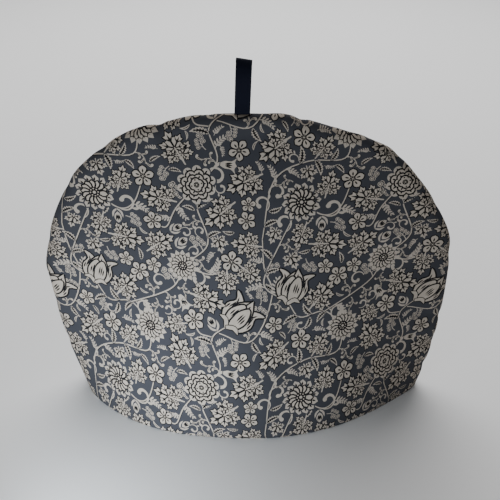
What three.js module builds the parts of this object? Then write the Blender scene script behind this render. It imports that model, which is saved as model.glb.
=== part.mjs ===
// Tea cosy: two dome-shaped panels of wadded cloth, sewn together round their curved edge and
// open at the hem, with a hanging loop of folded tape standing in the seam at the top.
// Millimetres, +Z up. The origin is the middle of the hem's plane, and the front panel faces -Y.
import * as THREE from 'three';

// Outline of both panels, seen from the front.
const MAX_WIDTH = 324;
const HEIGHT = 252;
const HEM_WIDTH = 290.5;
const WIDEST_AT = 122;
const CROWN_SQUARENESS = 2.85;
const CROWN_RISE = 1.64;
const SIDE_CURVE = 2.25;

// The worn outline is a little lopsided: the hem sits to the right of the widest line. Half the
// difference between the two flanks brings the whole back over the origin.
const HEM_SHIFT = 3.3;
const SHIFT_CURVE = 1.3;
const OFF_CENTRE = 0.67;

// Wadded cloth, how far the open hem bellies out from the seam, and the height over which
// puckers and creases fade out above the flat hem.
const WALL = 6;
const EDGE_ROUND = 9;
const HEM_ROUND = 1.2;
const PANEL_GAP = 0.3;
const HEM_BELLY = 65.5;
const BELLY_TOP = 0.94 * HEIGHT;
const BELLY_RISE = 1.3;
const BELLY_FADE = 1.14;
const SECTION_BLEND = 0.5 * HEIGHT;
const HEM_SECTION = {
  left: { roundness: 2.6, taper: 0.78 },
  right: { roundness: 2.11, taper: 1.08 },
};
const WAIST_SECTION = { roundness: 1.72, taper: 2.09 };
const HEM_SMOOTH = { from: 2, to: 22 };

// Hanging loop, of one strip of tape folded over, its two ends together at the foot.
const TAPE_WIDTH = 11.4;
const TAPE_THICKNESS = 1.3;
const LOOP_HEIGHT = 42.5;
const LOOP_X = -3.0;
const LOOP_LEAN = THREE.MathUtils.degToRad(2.2);
const LOOP_TOP_SLANT = THREE.MathUtils.degToRad(9);
const LOOP_STEPS = 32;

// The middle line of one side of the loop: how far the tape stands out at each height.
const LOOP_SIDE = [
  { out: 0.65, height: 0 },
  { out: 1.0, height: 8 },
  { out: 3.2, height: 19 },
  { out: 4.8, height: 30 },
  { out: 3.7, height: 38.4 },
  { out: 0, height: LOOP_HEIGHT - TAPE_THICKNESS / 2 },
];

// Steps of each panel's grid.
const HALF_COLUMNS = 20;
const SIDE_ROWS = 11;
const CROWN_ROWS = 14;
const CROWN_CROWDING = 2.6;
const SEAM_STEPS = 240;

const CLOTH = { color: 0x5b636b, roughness: 0.92, metalness: 0 };
const TAPE = { color: 0x10141f, roughness: 0.88, metalness: 0 };

// Puckers that the seam draws in round the edge. The bearing is in degrees about the middle of
// the widest line, 0 to the right and 90 at the top. A negative depth is a small swelling.
const SEAM_PUCKERS = [
  { bearing: 205.0, depth: 1.1, width: 5.0, reach: 20 },
  { bearing: 192.0, depth: 0.7, width: 6.0, reach: 16 },
  { bearing: 171.0, depth: 0.9, width: 7.0, reach: 18 },
  { bearing: 152.0, depth: 0.7, width: 6.0, reach: 22 },
  { bearing: 136.0, depth: 1.0, width: 6.0, reach: 15 },
  { bearing: 118.0, depth: 1.5, width: 4.5, reach: 20 },
  { bearing: 103.0, depth: 0.6, width: 6.0, reach: 14 },
  { bearing: 79.0, depth: -0.9, width: 9.0, reach: 12 },
  { bearing: 73.0, depth: 1.2, width: 4.5, reach: 16 },
  { bearing: 57.0, depth: 0.8, width: 7.0, reach: 18 },
  { bearing: 41.0, depth: 0.9, width: 6.0, reach: 24 },
  { bearing: 22.0, depth: 0.7, width: 6.0, reach: 16 },
  { bearing: 5.0, depth: 0.8, width: 7.0, reach: 20 },
  { bearing: -16.0, depth: 1.1, width: 5.5, reach: 26 },
  { bearing: -24.5, depth: 1.2, width: 5.0, reach: 22 },
  { bearing: -33.0, depth: 1.3, width: 5.0, reach: 28 },
];

// Broad flats, and swells where the depth is negative, that draw the outline in over a wide
// stretch. Bearings are as for the puckers.
const OUTLINE_SETS = [
  { bearing: 62, depth: 4.6, width: 26, reach: 70 },
  { bearing: 33, depth: 2.0, width: 24, reach: 70 },
  { bearing: 50, depth: 1.8, width: 11, reach: 70 },
  { bearing: 11, depth: -2.2, width: 16, reach: 70 },
  { bearing: 116, depth: 1.8, width: 16, reach: 70 },
  { bearing: 148, depth: -1.2, width: 14, reach: 70 },
  { bearing: 171, depth: -0.2, width: 9, reach: 70 },
  { bearing: 180, depth: -1.4, width: 11, reach: 70 },
];

// Soft ridges and troughs across each panel, from one end to the other. A trough's height is
// negative.
const FRONT_CREASES = [
  { fromX: 20, fromZ: 100, toX: 150, toZ: 108, height: 1.3, width: 12 },
  { fromX: -8, fromZ: 12, toX: -4, toZ: 84, height: 2.8, width: 20 },
  { fromX: 36, fromZ: 14, toX: 44, toZ: 84, height: -2.8, width: 20 },
  { fromX: 74, fromZ: 66, toX: 134, toZ: 58, height: -1.8, width: 13 },
  { fromX: 50, fromZ: 20, toX: 110, toZ: 34, height: 1.2, width: 12 },
  { fromX: -150, fromZ: 74, toX: -92, toZ: 62, height: -1.1, width: 13 },
  { fromX: -118, fromZ: 178, toX: -70, toZ: 154, height: -0.9, width: 14 },
  { fromX: 124, fromZ: 176, toX: 82, toZ: 154, height: 0.9, width: 13 },
];
const BACK_CREASES = [
  { fromX: -146, fromZ: 92, toX: -62, toZ: 84, height: -1.4, width: 13 },
  { fromX: 58, fromZ: 172, toX: 122, toZ: 186, height: -1.0, width: 13 },
  { fromX: 64, fromZ: 70, toX: 148, toZ: 82, height: 1.3, width: 13 },
  { fromX: 46, fromZ: 22, toX: 112, toZ: 30, height: -1.2, width: 13 },
];

// Half the panel's width at height z.
function halfWidth(z) {
  if (z >= WIDEST_AT) {
    const rise = (z - WIDEST_AT) / (HEIGHT - WIDEST_AT);
    return (MAX_WIDTH / 2) * Math.max(1 - rise ** CROWN_RISE, 0) ** (1 / CROWN_SQUARENESS);
  }
  const fall = (WIDEST_AT - z) / WIDEST_AT;
  return MAX_WIDTH / 2 - ((MAX_WIDTH - HEM_WIDTH) / 2) * fall ** SIDE_CURVE;
}

// Row heights: close together at the rounded hem, even up the sides, crowded at the crown.
function rowHeights() {
  const heights = [0, HEM_ROUND / 3, HEM_ROUND];
  for (let row = 1; row <= SIDE_ROWS; row += 1) {
    heights.push(HEM_ROUND + ((WIDEST_AT - HEM_ROUND) * row) / SIDE_ROWS);
  }
  for (let row = 1; row < CROWN_ROWS; row += 1) {
    const left = (1 - row / CROWN_ROWS) ** CROWN_CROWDING;
    heights.push(HEIGHT - (HEIGHT - WIDEST_AT) * left);
  }
  return heights;
}

// The seam's right half as a line of points, for distances to it.
const SEAM_POINTS = [];
for (let step = 0; step <= SEAM_STEPS; step += 1) {
  const z = HEIGHT * (1 - (step / SEAM_STEPS) ** CROWN_CROWDING);
  SEAM_POINTS.push(new THREE.Vector2(halfWidth(z), z));
}

function distanceToSeam(x, z) {
  const point = new THREE.Vector2(Math.abs(x), z);
  const closest = new THREE.Vector2();
  let nearest = Infinity;
  for (let step = 1; step < SEAM_POINTS.length; step += 1) {
    const start = SEAM_POINTS[step - 1];
    const along = new THREE.Vector2().subVectors(SEAM_POINTS[step], start);
    const share = closest.subVectors(point, start).dot(along) / along.lengthSq();
    closest.copy(start).addScaledVector(along, THREE.MathUtils.clamp(share, 0, 1));
    nearest = Math.min(nearest, closest.distanceTo(point));
  }
  return nearest;
}

// How far the panel stands out from its flat flank, from opening the hem.
function belly(x, z) {
  const rise = THREE.MathUtils.clamp(z / BELLY_TOP, 0, 1);
  const middle = HEM_BELLY * (1 - rise ** BELLY_RISE) ** BELLY_FADE;
  const blend = THREE.MathUtils.clamp(z / SECTION_BLEND, 0, 1);
  const hem = x < 0 ? HEM_SECTION.left : HEM_SECTION.right;
  const roundness = THREE.MathUtils.lerp(hem.roundness, WAIST_SECTION.roundness, blend);
  const taper = THREE.MathUtils.lerp(hem.taper, WAIST_SECTION.taper, blend);
  const across = Math.min(Math.abs(x) / Math.max(halfWidth(z), 1e-6), 1);
  return middle * (1 - across ** roundness) ** taper;
}

function bump(distance, width) {
  return Math.exp(-((distance / width) ** 2));
}

function creaseHeight(creases, x, z) {
  const point = new THREE.Vector3(x, 0, z);
  const nearest = new THREE.Vector3();
  let height = 0;
  for (const crease of creases) {
    const start = new THREE.Vector3(crease.fromX, 0, crease.fromZ);
    const end = new THREE.Vector3(crease.toX, 0, crease.toZ);
    new THREE.Line3(start, end).closestPointToPoint(point, true, nearest);
    height += crease.height * bump(nearest.distanceTo(point), crease.width);
  }
  return height;
}

// How far rows of puckers or flats, each along its bearing, draw one point in toward the middle,
// which fades away from the seam.
function drawnIn(rows, x, z, inward) {
  let depth = 0;
  for (const row of rows) {
    const bearing = THREE.MathUtils.degToRad(row.bearing);
    const ray = new THREE.Vector2(Math.cos(bearing), Math.sin(bearing));
    const arm = new THREE.Vector2(x, z - WIDEST_AT);
    if (arm.dot(ray) > 0) {
      depth += row.depth * bump(arm.cross(ray), row.width) * Math.exp(-inward / row.reach);
    }
  }
  return depth;
}

// The point of the panel's outer face at x and z, with y as the distance out from the seam.
function outerPoint(x, z, creases) {
  const inward = distanceToSeam(x, z);
  const round = 1 - Math.min(inward / EDGE_ROUND, 1);
  const edge = Math.sqrt(1 - round * round);
  const hemFade = THREE.MathUtils.smoothstep(z, HEM_SMOOTH.from, HEM_SMOOTH.to);
  const pucker = drawnIn(SEAM_PUCKERS, x, z, inward) * hemFade;
  const crease = creaseHeight(creases, x, z) * hemFade * edge;
  const out = edge * (WALL - pucker) + belly(x, z) + crease;
  const pull = pucker + drawnIn(OUTLINE_SETS, x, z, inward) * hemFade;
  const towardMiddle = new THREE.Vector2(-x, WIDEST_AT - z).normalize().multiplyScalar(pull);
  const fall = Math.max((WIDEST_AT - z) / WIDEST_AT, 0);
  const shift = HEM_SHIFT * fall ** SHIFT_CURVE + OFF_CENTRE;
  return new THREE.Vector3(x + towardMiddle.x + shift, out, z + towardMiddle.y);
}

// Outer and inner faces as one closed body: they share the seam's points and meet at the hem.
function panelGeometry(side, creases) {
  const heights = rowHeights();
  const positions = [];
  const faces = [];
  const outerRows = [];
  const innerRows = [];
  const addPoint = (x, y, z) => {
    positions.push(x, side * (y + PANEL_GAP / 2), z);
    return positions.length / 3 - 1;
  };

  for (const z of heights) {
    const outerRow = [];
    const innerRow = [];
    const hemCurve = HEM_ROUND - Math.sqrt(HEM_ROUND ** 2 - Math.max(HEM_ROUND - z, 0) ** 2);
    for (let column = -HALF_COLUMNS; column <= HALF_COLUMNS; column += 1) {
      const x = halfWidth(z) * Math.sin((Math.PI / 2) * (column / HALF_COLUMNS));
      const outer = outerPoint(x, z, creases);
      const innerY = Math.max(outer.y - WALL, 0);
      const turn = Math.min(hemCurve, (outer.y - innerY) / 3);
      if (Math.abs(column) === HALF_COLUMNS) {
        const seam = addPoint(outer.x, 0, outer.z);
        outerRow.push(seam);
        innerRow.push(seam);
      } else {
        outerRow.push(addPoint(outer.x, outer.y - turn, outer.z));
        innerRow.push(addPoint(outer.x, Math.max(innerY + turn, 0), outer.z));
      }
    }
    outerRows.push(outerRow);
    innerRows.push(innerRow);
  }

  const addFace = (a, b, c) => {
    if (a !== b && b !== c && c !== a) {
      faces.push(...(side > 0 ? [a, b, c] : [a, c, b]));
    }
  };
  const addQuad = (a, b, c, d) => {
    addFace(a, b, c);
    addFace(a, c, d);
  };

  const columns = 2 * HALF_COLUMNS;
  for (let row = 1; row < heights.length; row += 1) {
    for (let column = 0; column < columns; column += 1) {
      const [lowOut, highOut] = [outerRows[row - 1], outerRows[row]];
      const [lowIn, highIn] = [innerRows[row - 1], innerRows[row]];
      addQuad(lowOut[column + 1], lowOut[column], highOut[column], highOut[column + 1]);
      addQuad(lowIn[column], lowIn[column + 1], highIn[column + 1], highIn[column]);
    }
  }

  const topPoint = outerPoint(0, HEIGHT, creases);
  const apex = addPoint(topPoint.x, 0, topPoint.z);
  const [hemOut, hemIn] = [outerRows[0], innerRows[0]];
  const [lastOut, lastIn] = [outerRows.at(-1), innerRows.at(-1)];
  for (let column = 0; column < columns; column += 1) {
    addQuad(hemOut[column], hemOut[column + 1], hemIn[column + 1], hemIn[column]);
    addFace(lastOut[column + 1], lastOut[column], apex);
    addFace(lastIn[column], lastIn[column + 1], apex);
  }

  const geometry = new THREE.BufferGeometry();
  geometry.setAttribute('position', new THREE.Float32BufferAttribute(positions, 3));
  geometry.setIndex(faces);
  geometry.computeVertexNormals();
  return geometry;
}

function panel(name, side, creases) {
  const mesh = new THREE.Mesh(panelGeometry(side, creases), new THREE.MeshStandardMaterial(CLOTH));
  mesh.name = name;
  return mesh;
}

// The tape's section seen from the side, as an outline with a hole: both lie half a thickness
// from a smooth line that runs up one side of the loop and down the other.
function loopOutline() {
  const up = LOOP_SIDE.map((point) => new THREE.Vector2(point.out, point.height));
  const down = up.slice(0, -1).reverse().map((point) => new THREE.Vector2(-point.x, point.y));
  const middle = new THREE.SplineCurve([...up, ...down]);
  const outside = [];
  const inside = [];
  for (let step = 0; step <= LOOP_STEPS; step += 1) {
    const point = middle.getPoint(step / LOOP_STEPS);
    const along = middle.getTangent(step / LOOP_STEPS);
    const outward = new THREE.Vector2(along.y, -along.x).multiplyScalar(TAPE_THICKNESS / 2);
    const inner = point.clone().sub(outward);
    outside.push(point.clone().add(outward));
    if (Math.sign(inner.x) === Math.sign(point.x) && Math.abs(inner.x) > TAPE_THICKNESS / 4) {
      inside.push(inner);
    } else if (step * 2 === LOOP_STEPS) {
      inside.push(new THREE.Vector2(0, inner.y));
    }
  }
  outside[0].y = 0;
  outside[LOOP_STEPS].y = 0;
  const outline = new THREE.Shape(outside);
  outline.holes.push(new THREE.Path(inside));
  return outline;
}

// The section extruded across the tape's width, with its fold slanted and the whole leaned over.
function loopGeometry() {
  const across = { depth: TAPE_WIDTH, bevelEnabled: false };
  const geometry = new THREE.ExtrudeGeometry(loopOutline(), across);
  const xAxis = new THREE.Vector3(1, 0, 0);
  const yAxis = new THREE.Vector3(0, 1, 0);
  const zAxis = new THREE.Vector3(0, 0, 1);
  geometry.translate(0, 0, -TAPE_WIDTH / 2);
  geometry.applyMatrix4(new THREE.Matrix4().makeBasis(yAxis, zAxis, xAxis));
  const position = geometry.attributes.position;
  for (let index = 0; index < position.count; index += 1) {
    const [x, z] = [position.getX(index), position.getZ(index)];
    position.setX(index, x + z * Math.tan(LOOP_LEAN));
    position.setZ(index, z - x * Math.tan(LOOP_TOP_SLANT) * (z / LOOP_HEIGHT) ** 3);
  }
  geometry.computeVertexNormals();
  return geometry;
}

const cosy = new THREE.Group();
cosy.add(panel('front_panel', -1, FRONT_CREASES));
cosy.add(panel('back_panel', 1, BACK_CREASES));

const loop = new THREE.Mesh(loopGeometry(), new THREE.MeshStandardMaterial(TAPE));
loop.name = 'hanging_loop';
loop.position.set(LOOP_X, 0, HEIGHT + PANEL_GAP);
cosy.add(loop);

export default cosy;
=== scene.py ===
import math
import random

import bpy
import numpy as np
from mathutils import Euler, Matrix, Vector
from mathutils.geometry import delaunay_2d_cdt


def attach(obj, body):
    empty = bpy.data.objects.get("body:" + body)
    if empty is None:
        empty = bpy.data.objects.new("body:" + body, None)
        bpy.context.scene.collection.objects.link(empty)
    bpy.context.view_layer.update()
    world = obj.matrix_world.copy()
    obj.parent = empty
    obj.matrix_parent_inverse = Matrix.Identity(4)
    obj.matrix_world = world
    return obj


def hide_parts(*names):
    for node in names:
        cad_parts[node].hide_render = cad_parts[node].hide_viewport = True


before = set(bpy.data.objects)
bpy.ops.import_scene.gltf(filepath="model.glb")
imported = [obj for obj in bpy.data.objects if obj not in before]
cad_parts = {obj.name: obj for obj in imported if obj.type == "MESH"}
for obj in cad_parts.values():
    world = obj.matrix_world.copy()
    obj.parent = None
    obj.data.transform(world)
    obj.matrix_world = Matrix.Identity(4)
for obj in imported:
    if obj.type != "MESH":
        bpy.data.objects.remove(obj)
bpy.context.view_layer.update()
bpy.ops.object.select_all(action="DESELECT")


# The camera looks down on the front panel from about a forearm's length, close enough that the
# crown looks wider than it would from across the room.
VIEW_TURN = math.radians(0.82)
VIEW_TILT = math.radians(31.33)
VIEW_DISTANCE = 0.6126
VIEW_TARGET = Vector((0.0026, 0.0, 0.1368))
LENS_MM = 55.13
SENSOR_MM = 36.0

stand_off = Vector((0, -math.cos(VIEW_TILT), math.sin(VIEW_TILT))) * VIEW_DISTANCE
camera_place = VIEW_TARGET + stand_off
camera_place.rotate(Euler((0, 0, VIEW_TURN)))
aim = VIEW_TARGET.copy()
aim.rotate(Euler((0, 0, VIEW_TURN)))
bpy.ops.object.camera_add(location=camera_place)
camera = bpy.context.object
camera.name = "camera"
camera.rotation_euler = (aim - camera_place).to_track_quat("-Z", "Y").to_euler()
camera.data.lens = LENS_MM
camera.data.sensor_width = SENSOR_MM
bpy.context.scene.camera = camera


# The floor is plain and near white, lit by a wide lamp behind the cosy. Two small cool lamps
# stand low at the front left, close to the hem, so the crown and the right flank fall darker.
FLOOR_SIZE = 9.0
FLOOR_DROP = 0.0002
FLOOR_WHITE = (0.92, 0.92, 0.92, 1.0)
COOL = (0.91, 1.0, 1.08)
WHITE = (1.0, 1.0, 1.0)
LAMPS = [
    {"name": "hem_lamp", "at": (-0.12, -0.3, 0.052), "aim": (-0.05, 0, 0.09), "size": 0.1,
     "spread": math.radians(95), "watts": 0.325, "colour": COOL},
    {"name": "corner_lamp", "at": (-0.15, -0.22, 0.042), "aim": (-0.1, 0, 0.05), "size": 0.08,
     "spread": math.radians(95), "watts": 0.065, "colour": COOL},
    {"name": "floor_lamp", "at": (0, 1.1, 1.5), "aim": (0, -0.2, 0), "size": 2.2,
     "spread": math.radians(180), "watts": 42.0, "colour": WHITE},
]
SURROUND = (1.0, 1.0, 1.0, 1.0)
SURROUND_STRENGTH = 0.145


def matt(name, colour, roughness, gloss):
    """A plain matt finish."""
    finish = bpy.data.materials.new(name)
    finish.use_nodes = True
    sockets = finish.node_tree.nodes["Principled BSDF"].inputs
    sockets["Base Color"].default_value = colour
    sockets["Roughness"].default_value = roughness
    sockets["Specular IOR Level"].default_value = gloss
    return finish


bpy.ops.mesh.primitive_plane_add(size=FLOOR_SIZE, location=(0, 0, -FLOOR_DROP))
floor = bpy.context.object
floor.name = "floor"
floor.data.materials.append(matt("floor_paper", FLOOR_WHITE, roughness=0.9, gloss=0.1))

for row in LAMPS:
    bpy.ops.object.light_add(type="AREA", location=row["at"])
    lamp = bpy.context.object
    lamp.name = row["name"]
    lamp.data.shape = "DISK"
    lamp.data.size = row["size"]
    lamp.data.spread = row["spread"]
    lamp.data.energy = row["watts"]
    lamp.data.color = row["colour"]
    lamp.visible_camera = False
    lamp.rotation_euler = (Vector(row["aim"]) - lamp.location).to_track_quat("-Z", "Y").to_euler()

room = bpy.data.worlds.new("room")
room.use_nodes = True
room.node_tree.nodes["Background"].inputs["Color"].default_value = SURROUND
room.node_tree.nodes["Background"].inputs["Strength"].default_value = SURROUND_STRENGTH
bpy.context.scene.world = room


# The front and back panels are each one dome of printed cotton over wadding, turned in at the
# hem and lined. They are sewn face to face round the curved edge and turned out, so the edge is
# a soft roll that the seam puckers, and the hem is pulled open to stand over the pot.
MM = 0.001

# The print: beige flowers and leaves with finer dark lines, screen printed on slate navy. Its
# motifs are drawn in millimetres on the flat cloth, each point a complex number, x + 1j * y. A
# motif is a list of (ink, outline) laid one over the other, about 1 mm long until it is placed.
GROUND, BEIGE, LINE = 0, 1, 2


def smooth_line(points, steps=5):
    """A smooth line through the points, with this many steps between each two."""
    p = np.asarray(points, complex)
    p = np.concatenate([2 * p[:1] - p[1:2], p, 2 * p[-1:] - p[-2:-1]])
    before, start, end, after = (p[k : len(p) - 3 + k] for k in range(4))
    t = (np.arange(steps) / steps)[:, None]
    bent_line = (2 * before - 5 * start + 4 * end - after) * t**2
    bent_line = bent_line + (3 * start - before - 3 * end + after) * t**3
    line = 0.5 * (2 * start + (end - before) * t + bent_line)
    return np.append(line.T.ravel(), p[-2])


def stroke(line, width):
    """The outline of a pen stroke along a line, of one width or of a width at each point."""
    along = np.gradient(line)
    side = 1j * along / np.maximum(abs(along), 1e-9) * width / 2
    return np.concatenate([line + side, (line - side)[::-1]])


def tapered(line, width, start=0.0, end=0.0):
    """A pen stroke that thins at its two ends to these shares of its width."""
    share = np.interp(np.linspace(0, 1, len(line)), [0, 0.25, 0.7, 1], [start, 1, 1, end])
    return stroke(line, width * share)


def bent(at, bend):
    """Places along a stalk 1 mm long that turns by this angle from foot to tip."""
    return at * np.exp(1j * bend * (at - 0.5))


def disc(centre, radius, count=14):
    return centre + radius * np.exp(2j * np.pi * np.arange(count) / count)


def scalloped(radius, petals, depth, count=8):
    angle = 2 * np.pi * np.arange(petals * count) / (petals * count)
    lobe = abs(np.sin(petals * angle / 2)) ** 0.6
    return radius * (1 - depth + depth * lobe) * np.exp(1j * angle)


def petal(length, width, widest=0.65, count=8):
    s = np.linspace(0, 1, count)
    half = width / 2 * np.sin(np.pi * s ** (np.log(0.5) / np.log(widest))) ** 0.8
    return np.concatenate([s * length + 1j * half, (s * length - 1j * half)[::-1][1:-1]])


def grown(outline, gap):
    """An outline moved outward by a gap, for the rim or the bare ground round a shape."""
    along = np.roll(outline, -1) - np.roll(outline, 1)
    side = along / np.maximum(abs(along), 1e-9)
    ahead = np.roll(outline, -1)
    area = np.sum(outline.real * ahead.imag - outline.imag * ahead.real)
    return outline - 1j * side * gap * np.sign(area)


def rimmed(outline, gap, rim=GROUND):
    """A beige shape on a larger one of another ink."""
    return [(rim, grown(outline, gap)), (BEIGE, outline)]


def moved(motif, place=0j, turn=0.0, size=1.0):
    spin = size * np.exp(1j * turn)
    return [(ink, outline * spin + place) for ink, outline in motif]


def mirrored(motif):
    return [(ink, np.conj(outline)[::-1]) for ink, outline in motif]


def ringed(motif, count, start=0.0):
    """A motif copied at equal turns round the origin, the first by this share of one turn."""
    turns = [2 * np.pi * (k + start) / count for k in range(count)]
    return [part for turn in turns for part in moved(motif, turn=turn)]


def eye(radius, seeds):
    """A flower's middle with its seeds."""
    motif = [(LINE, disc(0, radius, 12)), (BEIGE, disc(0, radius * 0.3, 6))]
    for k in range(seeds):
        motif.append((BEIGE, disc(0.66 * radius * np.exp(2j * np.pi * k / seeds), radius * 0.16, 4)))
    return motif


def daisy(petals=14):
    """An open flower: pointed petals, a second ring inside and a seeded disc."""
    vein = (LINE, tapered(np.linspace(0.62, 0.88, 3), 0.1))
    outer = ringed(rimmed(petal(1.0, 0.42, 0.74, 7), 0.085) + [vein], petals)
    return outer + ringed(rimmed(petal(0.66, 0.26, 0.74, 7), 0.085, LINE), petals, 0.5) + eye(0.3, 8)


def rose(petals=9):
    """A many-layered flower: each ring of petals lies over the one outside it."""
    motif = [(GROUND, scalloped(1.08, petals, 0.24))]
    for ring, (radius, turn) in enumerate(((1.0, 0.0), (0.76, 0.35), (0.53, 0.1), (0.33, 0.5))):
        count = petals - 2 * ring + 1
        spin = np.exp(1j * turn)
        if ring:
            motif.append((LINE, scalloped(radius + 0.085, count, 0.16, 7) * spin))
        motif.append((BEIGE, scalloped(radius, count, 0.22, 7) * spin))
        for k in range(count):
            way = np.exp(1j * (np.pi / count + 2 * np.pi * k / count))
            fold = np.linspace(radius * 0.68, radius * 0.93, 4) * way
            motif.append((LINE, tapered(fold, 0.08, 0.5) * spin))
    return motif + eye(0.15, 5)


def aster(petals=15):
    """A star of narrow pointed petals in two rings, the inner one rimmed, round a seeded eye."""
    motif = [(GROUND, disc(0, 0.8, 20))]
    for length, width, start in ((1.0, 0.36, 0.0), (0.72, 0.26, 0.5)):
        veined = rimmed(petal(length, width, 0.62, 6), 0.06, LINE)
        veined.append((LINE, tapered(np.linspace(0.35, 0.8, 3) * length, 0.06)))
        motif += ringed(veined if start else veined[1:], petals, start)
    return motif + [(LINE, disc(0, 0.3, 16))] + eye(0.27, 8)


def blossom(petals=5):
    """A small flower of separate blunt petals, each with a vein."""
    veined = rimmed(petal(1.0, 2.1 / petals + 0.24, 0.68, 8), 0.11, LINE)
    veined.append((LINE, tapered(np.linspace(0.3, 0.72, 4), 0.14)))
    return ringed(veined, petals) + eye(0.27, 6)


def tulip():
    """A half-open flower seen from its side: petals over petals, each shaded by dark strokes."""
    layers = (
        ([0, 0.12 + 0.38j, 0.5 + 0.54j, 0.82 + 0.42j, 1.06 + 0.62j, 0.98 + 0.3j, 0.7 + 0.1j, 0],
         [(0.42 + 0.42j, 0.84 + 0.36j), (0.36 + 0.48j, 0.62 + 0.47j), (0.7 + 0.3j, 0.94 + 0.42j)]),
        ([0.1, 0.5 + 0.3j, 0.82 + 0.26j, 1.12 + 0.02j, 1.12 - 0.02j, 0.6 - 0.1j],
         [(0.8 + 0.06j, 1.0 + 0.04j), (0.8 + 0.14j, 0.92 + 0.12j)]),
        ([0, 0.14 + 0.24j, 0.46 + 0.32j, 0.8 + 0.2j, 0.86 + 0.06j, 0.56 - 0.08j, 0.2 - 0.06j],
         [(0.3 + 0.08j, 0.66 + 0.07j), (0.28 + 0.15j, 0.68 + 0.14j), (0.3 + 0.22j, 0.58 + 0.22j)]),
    )
    motif = []
    for shape, shading in layers:
        outline = smooth_line(shape, 3)
        marks = [(LINE, tapered(np.linspace(*ends, 4), 0.046)) for ends in shading]
        half = rimmed(outline, 0.055, LINE) + marks
        motif += half + mirrored(half)
    for hand in (1, -1):
        sepal = smooth_line([-0.08, 0.1 + 0.2j * hand, 0.04 + 0.42j * hand], 3)
        motif += rimmed(tapered(sepal, 0.13, 0.8), 0.03, LINE)
    return motif


def leaf(width=0.42, teeth=7, bend=0.5):
    """A toothed leaf along a curved midrib, with a vein to each tooth."""
    s, half = [0.0], [0.0]
    for k in range(teeth):
        top = np.sin(np.pi * ((k + 0.62) / teeth) ** 0.75)
        s += [(k + 0.8) / teeth, (k + 0.93) / teeth]
        half += [top, 0.62 * top if k < teeth - 1 else 0.0]
    s, half = np.array(s), np.array(half) * width / 2
    midrib = bent(s, bend)
    side = 1j * np.exp(1j * bend * (2 * s - 0.5))
    outline = np.concatenate([midrib + side * half, (midrib - side * half)[::-1][1:-1]])
    motif = rimmed(outline, 0.05)
    motif.append((LINE, tapered(bent(np.linspace(0.06, 0.86, 7), bend), 0.1, 0.6)))
    for k in range(1, teeth - 1):
        foot = (k + 0.1) / teeth
        reach = 0.66 * np.sin(np.pi * ((k + 0.62) / teeth) ** 0.75) * width / 2
        for hand in (1, -1):
            tip = bent(foot + 0.5 / teeth, bend) + hand * 1j * reach * np.exp(1j * bend * foot)
            vein = np.linspace(bent(foot, bend), tip, 3)
            motif.append((LINE, tapered(vein, 0.06, 1.0)))
    return motif


def narrow_leaf(width=0.24, bend=0.8):
    """A plain narrow leaf with one vein."""
    s = np.linspace(0, 1, 9)
    midrib = bent(s, bend)
    outline = stroke(midrib, width * np.sin(np.pi * s**0.85) ** 0.9)
    return rimmed(outline, 0.05) + [(LINE, tapered(midrib[1:7], 0.065))]


def vine_leaf(lobes=5):
    """A broad leaf of toothed lobes round one foot, with a forked vein in each lobe."""
    half = np.array([0, 0.2 + 0.14j, 0.48 + 0.3j, 0.52 + 0.16j, 0.78 + 0.25j, 0.78 + 0.11j, 1.0])
    lobe = np.concatenate([half, np.conj(half)[::-1][1:-1]])
    outlines, veins = [], []
    for k in range(lobes):
        share = k / (lobes - 1) - 0.5
        way = (0.8 - 0.72 * abs(share)) * np.exp(3.7j * share)
        outlines.append(lobe * way + 0.24)
        veins.append(tapered(np.linspace(0.05, 0.84, 4), 0.11, 0.9) * way + 0.24)
        for hand in (1, -1):
            fork = np.linspace(0.4, 0.64 + 0.2j * hand, 3)
            veins.append(tapered(fork, 0.09, 1.0) * way + 0.24)
    stalk = stroke(np.linspace(0, 0.3, 4), 0.06)
    motif = [(GROUND, grown(outline, 0.06)) for outline in outlines]
    motif += [(BEIGE, stalk)] + [(BEIGE, outline) for outline in outlines]
    return motif + [(LINE, vein) for vein in veins]


def spray():
    """Three lobed leaves on one forked stalk, each with a dark rim."""
    motif = []
    for foot, turn, size in ((0.2, 1.0, 0.46), (0.28, -1.05, 0.44), (0.36, 0.06, 0.62)):
        stalk = smooth_line([0, 0.5 * foot, foot + 0.1 * np.exp(1j * turn)], 3)
        motif.append((BEIGE, stroke(stalk, 0.035)))
        dark_rimmed = [(LINE if ink == GROUND else ink, outline) for ink, outline in vine_leaf()]
        motif += moved(dark_rimmed, foot, turn, size)
    return motif


def fern(pairs=5, bend=0.5):
    """A stalk with pairs of small leaflets and one at the tip."""
    stalk = bent(np.linspace(0, 1, 9), bend)
    motif = [(BEIGE, tapered(stalk, 0.05, 1.0, 0.5))]
    for k in range(pairs):
        at = (k + 1) / (pairs + 0.6)
        size = 0.36 * (1 - 0.5 * at)
        for hand in (1, -1):
            way = size * np.exp(1j * (bend * (2 * at - 0.5) + hand * 0.8))
            motif.append((BEIGE, petal(1, 0.38, 0.55, 6) * way + bent(at, bend)))
    tip = petal(1, 0.4, 0.55, 6) * 0.24 * np.exp(1.5j * bend)
    return motif + [(BEIGE, tip + 0.9 * bent(1, bend))]


def berry(radius=0.14):
    rings = ((GROUND, 1.25), (BEIGE, 1.0), (LINE, 0.7), (BEIGE, 0.48))
    return [(ink, disc(0, radius * share, 12)) for ink, share in rings]


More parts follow.
